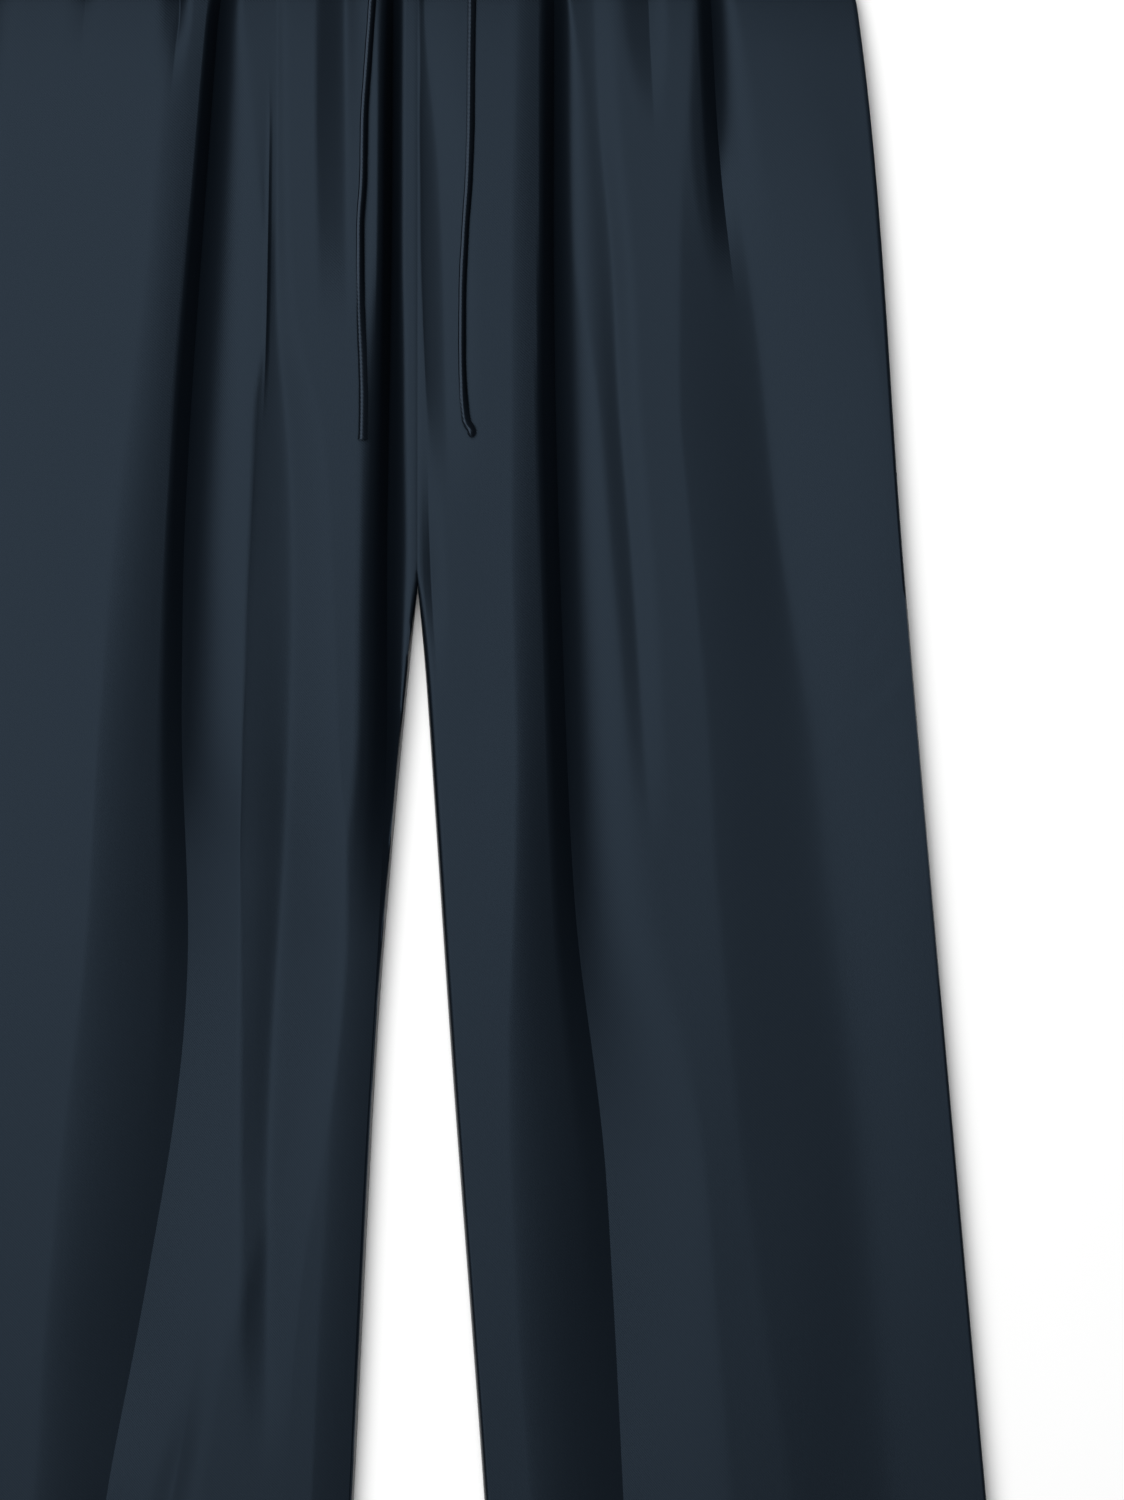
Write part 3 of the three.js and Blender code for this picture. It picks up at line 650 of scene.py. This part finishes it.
# Drawstrings: the points of each route, in metres, from where it leaves its slot, and how far
# the cord is twisted, in degrees, at each length in millimetres
cords = {
    "left": {
        "end": "cut",
        "twist": ((0, -6), (40, -17), (150, -18), (178, -12), (200, 10), (215, 20), (260, 22)),
        "route": [
            (-0.0200, 0.5275, 0.0046), (-0.0200, 0.5215, 0.0056), (-0.0200, 0.5150, 0.0072),
            (-0.0201, 0.5090, 0.0079), (-0.0203, 0.5030, 0.0096), (-0.0206, 0.4960, 0.0114),
            (-0.0210, 0.4890, 0.0129), (-0.0214, 0.4814, 0.0140), (-0.0233, 0.4526, 0.0156),
            (-0.0252, 0.4238, 0.0165), (-0.0257, 0.3950, 0.0169), (-0.0271, 0.3710, 0.0171),
            (-0.0271, 0.3374, 0.0173), (-0.0262, 0.3038, 0.0175), (-0.0259, 0.2894, 0.0175),
            (-0.0262, 0.2702, 0.0173)],
    },
    "right": {
        "end": "round",
        "twist": ((0, -3), (40, -4), (118, -6), (146, -17), (225, -19), (236, -12), (248, 10), (260, 16)),
        "route": [
            (0.0250, 0.5275, 0.0046), (0.0250, 0.5215, 0.0056), (0.0251, 0.5150, 0.0072),
            (0.0253, 0.5090, 0.0079), (0.0256, 0.5030, 0.0094), (0.0259, 0.4960, 0.0111),
            (0.0261, 0.4890, 0.0127), (0.0262, 0.4814, 0.0137), (0.0259, 0.4526, 0.0155),
            (0.0257, 0.4238, 0.0165), (0.0249, 0.3950, 0.0169), (0.0233, 0.3710, 0.0171),
            (0.0219, 0.3374, 0.0173), (0.0218, 0.3134, 0.0174), (0.0222, 0.2942, 0.0175),
            (0.0233, 0.2796, 0.0175), (0.0262, 0.2712, 0.0176)],
    },
}
# Its outline across: shares of the radius to the right and upwards, as a narrow folded strip has
cordOutline = [
    (1.0, -0.62), (0.9, -0.45), (0.76, -0.28), (0.58, -0.08), (0.4, 0.1), (0.2, 0.26), (0.0, 0.38),
    (-0.2, 0.46), (-0.45, 0.5), (-0.7, 0.39), (-0.95, 0.28), (-1.0, -0.4), (-0.85, -0.72), (-0.4, -0.85),
    (0.2, -0.86), (0.75, -0.8),
]
cordShape = {
    "pitch": 1.1,
    "twistSmoothing": 6.0,
    "sharpAngle": 40.0,
    "flare": 0.16,           # the cut end spreads a little
    "flareLength": 5.0,
    "roundLength": 2.6,
    "hook": 1.3,             # the round end turns to the side
    "hookAt": 4.0,
    "hookReach": 6.0,
    "waves": ((0.02, 5.3, 0.0), (0.015, 2.1, 1.0)),  # share of the radius, length and start
}


def smoothRoute(points, pitch):
    points = np.array(points, float) / mm
    run = np.concatenate([[0], np.cumsum(np.linalg.norm(np.diff(points, axis=0), axis=1))])
    at = np.linspace(0, run[-1], round(run[-1] / pitch) + 1)
    columns = [along({"drop": run, "value": points[:, k]}, "value", at) for k in range(3)]
    return np.stack(columns, -1), at


def tubeMesh(name, path, radii, turns):
    sides = len(cordOutline)
    heading = np.gradient(path, axis=0)
    heading /= np.linalg.norm(heading, axis=1)[:, None]
    across = np.cross((0, 0, 1), heading)
    across /= np.linalg.norm(across, axis=1)[:, None]
    upward = np.cross(heading, across)
    right, rise = np.array(cordOutline).T
    cos, sin = np.cos(turns)[:, None], np.sin(turns)[:, None]
    sideways = radii[:, None] * (right * cos - rise * sin)
    upwards = radii[:, None] * (right * sin + rise * cos)
    rings = path[:, None] + sideways[:, :, None] * across[:, None] + upwards[:, :, None] * upward[:, None]
    count = len(path)
    index = np.arange(count * sides).reshape(count, sides)
    nearby = np.roll(index, -1, axis=1)
    faces = np.stack([index[:-1], index[1:], nearby[1:], nearby[:-1]], -1).reshape(-1, 4).tolist()
    faces += [index[0].tolist(), index[-1][::-1].tolist()]
    mesh = bpy.data.meshes.new(name)
    mesh.from_pydata((rings.reshape(-1, 3) * mm).tolist(), [], faces)
    mesh.shade_smooth()
    mesh.set_sharp_from_angle(angle=math.radians(cordShape["sharpAngle"]))
    return mesh


def makeCord(side):
    cord = cords[side]
    path, run = smoothRoute(cord["route"], cordShape["pitch"])
    radii = np.full(len(run), garment["cordDiameter"] / 2)
    radii *= 1 + sum(share * np.sin(run / size + start) for share, size, start in cordShape["waves"])
    twist = np.interp(run, *np.array(cord["twist"]).T)
    turns = np.radians(evenOut(twist, run, cordShape["twistSmoothing"]))
    left = run[-1] - run
    if cord["end"] == "cut":
        radii *= 1 + cordShape["flare"] * np.clip(1 - left / cordShape["flareLength"], 0, 1) ** 2
    else:
        radii *= np.sqrt(np.clip(1 - (1 - np.clip(left / cordShape["roundLength"], 0, 1)) ** 2, 0.04, 1))
        near = np.clip(1 - np.abs(left - cordShape["hookAt"]) / cordShape["hookReach"], 0, 1)
        path[:, 0] += cordShape["hook"] * near ** 2
    mesh = tubeMesh(f"drawstring_{side}_cord", path, radii, turns)
    piece = finishPiece(addPiece(mesh.name, mesh), "cord_satin", [f"drawstring_{side}"])


for side in cords:
    makeCord(side)
print("drawstrings ready")


# Stitches: each one a short tapered thread that lies on the cloth
stitchTaper = ((0, 0.25), (0.2, 0.85), (0.5, 1), (0.8, 0.85), (1, 0.25))  # along it, and how thick


def stitchMesh(name, starts, ends, thick, sides=5):
    points, faces = [], []
    for start, end in zip(starts, ends):
        heading = end - start
        across = np.cross(heading, (0, 0, 1.0))
        across /= np.linalg.norm(across)
        upward = np.cross(across, heading)
        upward /= np.linalg.norm(upward)
        base = len(points)
        for share, size in stitchTaper:
            centre = start + heading * share
            for k in range(sides):
                turn = 2 * math.pi * k / sides
                points.append(centre + thick / 2 * size * (math.cos(turn) * across + math.sin(turn) * upward))
        for ring in range(len(stitchTaper) - 1):
            for k in range(sides):
                a = base + ring * sides + k
                b = base + ring * sides + (k + 1) % sides
                faces.append((a, b, b + sides, a + sides))
        faces.append(tuple(base + k for k in reversed(range(sides))))
        faces.append(tuple(base + (len(stitchTaper) - 1) * sides + k for k in range(sides)))
    mesh = bpy.data.meshes.new(name)
    mesh.from_pydata((np.array(points) * mm).tolist(), [], faces)
    mesh.shade_smooth()
    return mesh


def stitchLine(points, stitch, gap):
    points = np.asarray(points, float)
    run = np.concatenate([[0], np.cumsum(np.linalg.norm(np.diff(points, axis=0), axis=1))])
    first = np.arange(gap, run[-1] - stitch, stitch + gap)
    ends = (first, first + stitch)
    return [np.stack([np.interp(at, run, points[:, k]) for k in range(3)], -1) for at in ends]


# Front panels
surfaces = {}


def heightAt(side, x, drop):
    gridX, gridY, high = surfaces[side]
    row = int(np.argmin(np.abs(gridY[:, 0] - (topY - drop))))
    return np.interp(x, gridX[row], high[row])


def frontPanel(side):
    drops = spread(panel["rows"])
    sections = [foldSections(name, rows, drops) for name, rows in folds[side].items()]
    x, creases = panelColumns(side, drops, sections)
    low, hem = frontHeight(side, x, drops, sections)
    high = low + garment["cloth"] + hem
    y = np.broadcast_to((topY - drops)[:, None], x.shape)
    piece = wallMesh(f"front_{side}_cloth", x, y, low, high, creases=creases)
    surfaces[side] = (x, y, high)
    return finishPiece(piece, "satin", [f"front_{side}"])


fronts = {side: frontPanel(side) for side in ("left", "right")}
print("front panels ready")


# Back panels: flat on the surface, with the shallow hollows of their own gathers and folds.
# Each hollow: x at the waist, knee and hem, where it starts and ends, its reach and its depth.
hollowColumns = ("waist", "knee", "hem", "from", "to", "reach", "depth")
hollows = {
    "left": [
        (-168, -218, -256, 40, 420, 8, 0.5), (-140, -190, -232, 44, 690, 11, 0.8),
        (-128, -172, -206, 520, 1083, 14, 0.7), (-84, -96, -116, 40, 560, 9, 0.7),
        (-52, -84, -102, 60, 1083, 12, 0.9), (-30, -62, -78, 40, 330, 7, 0.6),
    ],
    "right": [
        (170, 214, 250, 44, 560, 9, 0.6), (120, 176, 214, 40, 1083, 13, 0.9),
        (96, 138, 172, 480, 1083, 12, 0.6), (44, 58, 84, 42, 640, 9, 0.8), (86, 116, 150, 40, 300, 8, 0.6),
        (24, 40, 68, 60, 420, 7, 0.5),
    ],
}
backPanel = {
    "columns": 64,
    "rows": 150,
    "crowding": 0.9,     # columns crowd towards the side seam and the inseam
    "roll": 2.4,
    "underRoll": 0.45,   # share of the cloth that the roll takes off the underside
    "fadeIn": 70.0,
    "fadeOut": 130.0,
}


def backHeight(side, x, drop):
    d = np.broadcast_to(drop[:, None], x.shape)
    rise = np.zeros_like(x)
    for row in hollows[side]:
        one = dict(zip(hollowColumns, row))
        line = np.interp(drop, (panelDrop, 600, length), (one["waist"], one["knee"], one["hem"]))[:, None]
        begins = ramp(d, one["from"] - 1, one["from"] + backPanel["fadeIn"])
        ends = 1 - ramp(d, one["to"] - backPanel["fadeOut"], one["to"] + 1)
        fade = begins * ends
        if one["to"] > length - 5:  # runs out at the hem
            fade = begins
        if one["from"] < 50:  # starts as a gather under the band
            fade = 1 - ramp(d, one["to"] - backPanel["fadeOut"], one["to"])
        rise += one["depth"] * fade * np.exp(-((x - line) / one["reach"]) ** 2)
    inner = np.abs(x) - innerOff(side, drop)[:, None]
    outer = outerOff(drop)[:, None] - np.abs(x)
    edge = np.clip(np.minimum(inner, outer) / backPanel["roll"], 0, 1)
    return rise * edge, edge


def makeBack(side):
    t = np.linspace(0, 1, backPanel["rows"])
    drops = panelDrop + (length - panelDrop) * t
    u = np.linspace(0, 1, backPanel["columns"])
    u = u - backPanel["crowding"] * np.sin(2 * np.pi * u) / (2 * np.pi)
    near, far = innerOff(side, drops)[:, None], outerOff(drops)[:, None]
    off = near + (far - near) * u[None, :]
    x = off if side == "right" else -off[:, ::-1]
    low, edge = backHeight(side, x, drops)
    curve = np.sqrt(1 - (1 - edge) ** 2)
    y = np.broadcast_to((topY - drops)[:, None], x.shape)
    cloth = garment["backCloth"]
    high = low + cloth
    low = low + cloth * backPanel["underRoll"] * (1 - curve)
    piece = wallMesh(f"back_{side}_cloth", x, y, low, high)
    return finishPiece(piece, "satin", [f"back_{side}"])


backs = {side: makeBack(side) for side in ("left", "right")}
print("back panels ready")


# Waistband: a gathered casing over elastic, with two slots that the drawstring comes out of
band = {
    "gathers": 29,
    "rib": 1.6,
    "uneven": 0.35,
    "drift": 2.3,
    "slots": {"left": -20.0, "right": 25.0},
    "slotWidth": 4.8,
    "slotLength": 16.0,
    "slotDrop": 12.0,
    "flatReach": 7.0,
    "stitchDrops": (3.2, 34.6),
    "pitch": 0.85,
    "rows": 44,
    "stitch": 2.2,
    "stitchGap": 0.9,
    "threadWidth": 0.45,
    "fineGathers": 2.3,      # finer ones for each gather
    "fineShare": 0.22,
    "stitchPinch": 0.45,     # share of a gather that the rows of stitches take away
    "pinchReach": 1.5,
    "edgeRoll": 2.2,
    "sideRoll": 4.0,
    "edgeSlack": 0.01,       # keeps the lowest row of the band from closing up
}


def bandEdge(drop, roll):
    below = garment["bandDepth"] + band["edgeSlack"] - drop
    return np.sqrt(1 - (1 - np.clip(np.minimum(drop, below) / roll, 0, 1)) ** 2)


def bandHeight(x, drop):
    half = outerOff(drop)
    u = (x + half) / (2 * half)
    phase = band["gathers"] * u + band["uneven"] * np.sin(band["drift"] * band["gathers"] * u * 0.5)
    broad = 0.5 - 0.5 * np.cos(2 * np.pi * phase)
    fine = 0.5 - 0.5 * np.cos(2 * np.pi * (band["fineGathers"] * phase + 0.4 * np.sin(drop / 7 + phase)))
    reach = [np.abs(x - at) - band["slotWidth"] / 2 for at in band["slots"].values()]
    lie = ramp(np.minimum(*reach), 0, band["flatReach"])
    rows = sum(np.exp(-((drop - at) / band["pinchReach"]) ** 2) for at in band["stitchDrops"])
    pinch = 1 - band["stitchPinch"] * rows
    edge = bandEdge(drop, band["edgeRoll"])
    side = np.clip((half - np.abs(x)) / band["sideRoll"], 0, 1)
    both = (1 - band["fineShare"]) * broad + band["fineShare"] * fine * (0.4 + 0.6 * broad)
    rib = band["rib"] * lie * both * pinch * side
    low = garment["bandCloth"] + garment["seamGap"] + rib * (0.5 + 0.5 * edge)
    return low, low + garment["bandCloth"] * (0.5 + 0.5 * edge * np.sqrt(1 - (1 - side) ** 2))


def bandFront():
    drops = np.linspace(0, garment["bandDepth"], band["rows"] + 1)
    slotRows = [band["slotDrop"], band["slotDrop"] + band["slotLength"]]
    for edge in slotRows:
        drops[np.argmin(np.abs(drops - edge))] = edge
    edges = sorted(at + sign * band["slotWidth"] / 2 for at in band["slots"].values() for sign in (-1, 1))
    half = outerOff(drops)[:, None]
    lines = [-half, *[np.full_like(half, at) for at in edges], half]
    spans, cuts, count = [], [], 0
    for before, after in zip(lines, lines[1:]):
        steps = max(3, round(float(np.mean(after - before)) / band["pitch"]))
        spans.append(before + (after - before) * np.arange(steps) / steps)
        cuts.append((count, count + steps))
        count += steps
    x = np.concatenate([*spans, half], axis=1)
    d = np.broadcast_to(drops[:, None], x.shape)
    low, high = bandHeight(x, d)
    keep = np.ones((x.shape[0] - 1, x.shape[1] - 1), bool)
    inSlot = (drops[:-1] > slotRows[0] - 0.01) & (drops[1:] < slotRows[1] + 0.01)
    for first, last in (cuts[1], cuts[3]):
        keep[np.ix_(inSlot, np.arange(first, last))] = False
    piece = wallMesh("waistband_front_cloth", x, topY - d, low, high, keep)
    return finishPiece(piece, "band_satin", ["waistband_front"])


bandUnder = {"rows": 30, "columns": 420, "ribShare": 0.35, "mostRib": 0.6, "edgeRoll": 2.0}


def bandBack():
    drops = np.linspace(0, garment["bandDepth"], bandUnder["rows"])
    u = np.linspace(-1, 1, bandUnder["columns"])
    x = outerOff(drops)[:, None] * u[None, :]
    d = np.broadcast_to(drops[:, None], x.shape)
    low, high = bandHeight(x, d)
    rise = bandUnder["ribShare"] * (high - garment["bandCloth"] * 2 - garment["seamGap"])
    edge = bandEdge(d, bandUnder["edgeRoll"])
    rise = np.clip(rise, 0, bandUnder["mostRib"]) * edge
    cloth = garment["bandCloth"] - bandUnder["mostRib"]
    piece = wallMesh("waistband_back_cloth", x, topY - d, rise, rise + cloth * (0.4 + 0.6 * edge))
    return finishPiece(piece, "band_satin", ["waistband_back"])


bandPieces = {"front": bandFront(), "back": bandBack()}


def bandStitches():
    starts, ends = [], []
    for drop in band["stitchDrops"]:
        half = float(outerOff(drop)) - 2
        x = np.linspace(-half, half, 900)
        high = bandHeight(x, np.full_like(x, drop))[1]
        line = np.stack([x, np.full_like(x, topY - drop), high + 0.05], -1)
        first, last = stitchLine(line, band["stitch"], band["stitchGap"])
        starts.append(first)
        ends.append(last)
    mesh = stitchMesh("band_stitching", np.concatenate(starts), np.concatenate(ends), band["threadWidth"])
    return finishPiece(addPiece(mesh.name, mesh), "thread")


slotSewing = {"thread": 0.42, "inset": 0.1, "reach": 1.5, "past": 0.9, "lift": 0.08, "rise": 0.02}


def slotStitches():
    starts, ends = [], []
    near, far, thread = slotSewing["inset"], slotSewing["reach"], slotSewing["thread"]
    half = band["slotWidth"] / 2
    low, high = band["slotDrop"], band["slotDrop"] + band["slotLength"]
    start = garment["bandCloth"] * 2 + garment["seamGap"] + slotSewing["lift"]
    end = start + slotSewing["rise"]
    for at in band["slots"].values():
        for drop in np.arange(low - slotSewing["past"], high + slotSewing["past"] + near, thread):
            for sign in (-1, 1):
                starts.append((at + sign * (half + near), topY - drop, start))
                ends.append((at + sign * (half + far), topY - drop, end))
        for x in np.arange(-half, half + near, thread):
            for drop, away in ((low, -1), (high, 1)):
                starts.append((at + x, topY - drop - near * away, start))
                ends.append((at + x, topY - drop - (near + far) * away, end))
    mesh = stitchMesh("slot_stitching", np.array(starts), np.array(ends), thread)
    return finishPiece(addPiece(mesh.name, mesh), "thread")


bandStitching, slotStitching = bandStitches(), slotStitches()
print("waistband ready")


# Hems: a turn-up held by a row of small stitches
hem = {"stitch": 1.6, "gap": 4.4, "thread": 0.4, "fromSeams": 3.0, "lift": 0.03}


def hemStitches(side):
    drop = length - garment["hemTurn"]
    near, far = float(innerOff(side, drop)), float(outerOff(drop))
    off = np.linspace(near + hem["fromSeams"], far - hem["fromSeams"], 500)
    x = off if side == "right" else -off[::-1]
    line = np.stack([x, np.full_like(x, topY - drop), heightAt(side, x, drop) + hem["lift"]], -1)
    first, last = stitchLine(line, hem["stitch"], hem["gap"])
    mesh = stitchMesh(f"hem_{side}_stitching", first, last, hem["thread"])
    return finishPiece(addPiece(mesh.name, mesh), "thread")


hemStitching = {side: hemStitches(side) for side in ("left", "right")}
print("hems ready")
